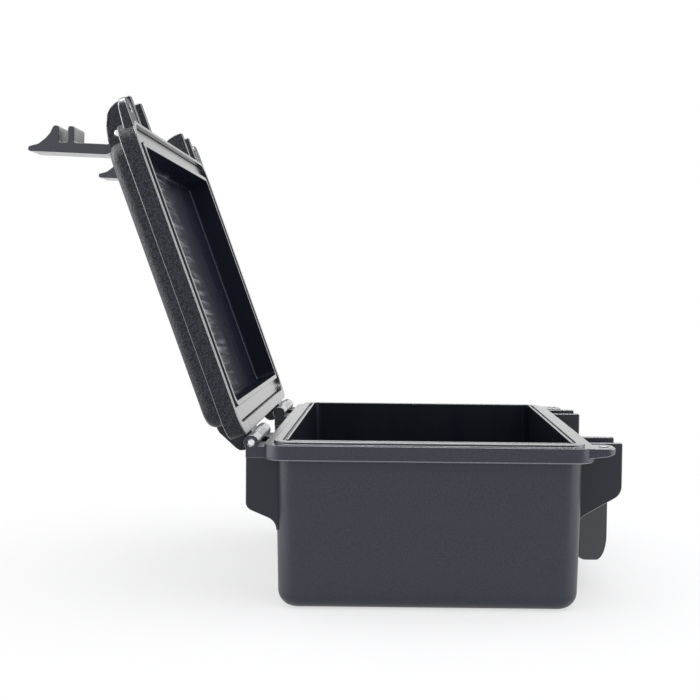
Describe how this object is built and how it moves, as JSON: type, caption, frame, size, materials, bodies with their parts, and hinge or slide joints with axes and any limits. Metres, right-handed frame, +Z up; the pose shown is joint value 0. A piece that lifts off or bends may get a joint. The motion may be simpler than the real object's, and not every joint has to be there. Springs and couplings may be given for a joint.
{
  "type": "tool case",
  "caption": "Hard moulded tool case with a hinged lid on a sealed rim, lever latches, padlock tabs and a folding carry handle.",
  "frame": {"origin": "centre of the tub's flat bottom", "axes": "+Z up; +Y from the latches to the hinges; +X along the hinge line, to the right as seen from the latch side"},
  "size_m": [0.207, 0.2715, 0.229],
  "materials": {
    "shell_plastic": "spark-eroded grain on moulded ABS",
    "latch_plastic": "fine satin moulded ABS",
    "gasket_rubber": "smooth extruded rubber",
    "pin_steel": "drawn steel wire, cut ends"
  },
  "bodies": {
    "base": {"base_shell": "shell_plastic", "hinge_pin_left": "pin_steel", "hinge_pin_right": "pin_steel", "handle_pin_left": "pin_steel", "handle_pin_right": "pin_steel"},
    "lid": {"lid_shell": "shell_plastic", "lid_gasket": "gasket_rubber", "latch_pin_left": "pin_steel", "latch_pin_right": "pin_steel"},
    "left_latch": {"latch_left": "latch_plastic"},
    "right_latch": {"latch_right": "latch_plastic"},
    "handle": {"carry_handle": "latch_plastic"}
  },
  "joints": [
    {"name": "lid_hinge", "type": "hinge", "parent": "base", "child": "lid", "pos_m": [0, 0.0794, 0.074], "axis": [1, 0, 0], "range_deg": [0, 110]},
    {"name": "left_latch_pivot", "type": "hinge", "parent": "lid", "child": "left_latch", "pos_m": [-0.0678, 0.14178, 0.21177], "axis": [1, 0, 0], "range_deg": [0, 158]},
    {"name": "right_latch_pivot", "type": "hinge", "parent": "lid", "child": "right_latch", "pos_m": [0.0678, 0.14178, 0.21177], "axis": [1, 0, 0], "range_deg": [0, 158]},
    {"name": "handle_pivot", "type": "hinge", "parent": "base", "child": "handle", "pos_m": [0, -0.0788, 0.0602], "axis": [-1, 0, 0], "range_deg": [-3, 150]}
  ]
}
